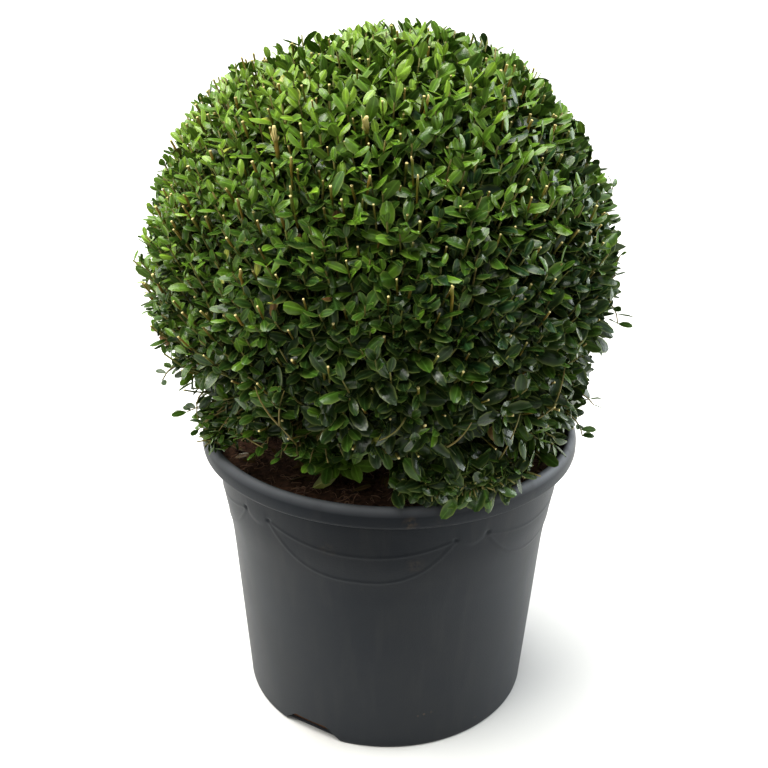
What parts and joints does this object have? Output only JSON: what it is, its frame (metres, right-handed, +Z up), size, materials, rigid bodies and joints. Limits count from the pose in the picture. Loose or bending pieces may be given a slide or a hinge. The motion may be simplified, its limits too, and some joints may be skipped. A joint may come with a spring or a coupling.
{
  "type": "box topiary ball in a pot",
  "caption": "Evergreen box shrub clipped to a ball of small glossy leaves, growing in a round dark plastic nursery pot with a rolled rim and drainage notches.",
  "frame": {"origin": "middle of the flat underside of the pot, on the surface that the pot stands on", "axes": "+Z up through the pot and the ball, +X to the right of the front view, -Y to the front, where the hollow under the ball is to the left"},
  "size_m": [0.3811, 0.3841, 0.5759],
  "materials": {
    "pot_plastic": "satin",
    "compost": "matte",
    "bark": "matte",
    "foliage": "satin"
  },
  "bodies": {
    "root": {"pot": "pot_plastic", "compost": "compost", "main_stem": "bark", "bough_1": "bark", "bough_2": "bark", "bough_3": "bark", "bough_4": "bark", "bough_5": "bark", "bough_6": "bark", "low_bough_1": "bark", "low_bough_2": "bark", "low_bough_3": "bark", "low_spray_1": "foliage", "low_spray_2": "foliage", "low_spray_3": "foliage", "clipped_ball": "foliage"}
  },
  "joints": []
}
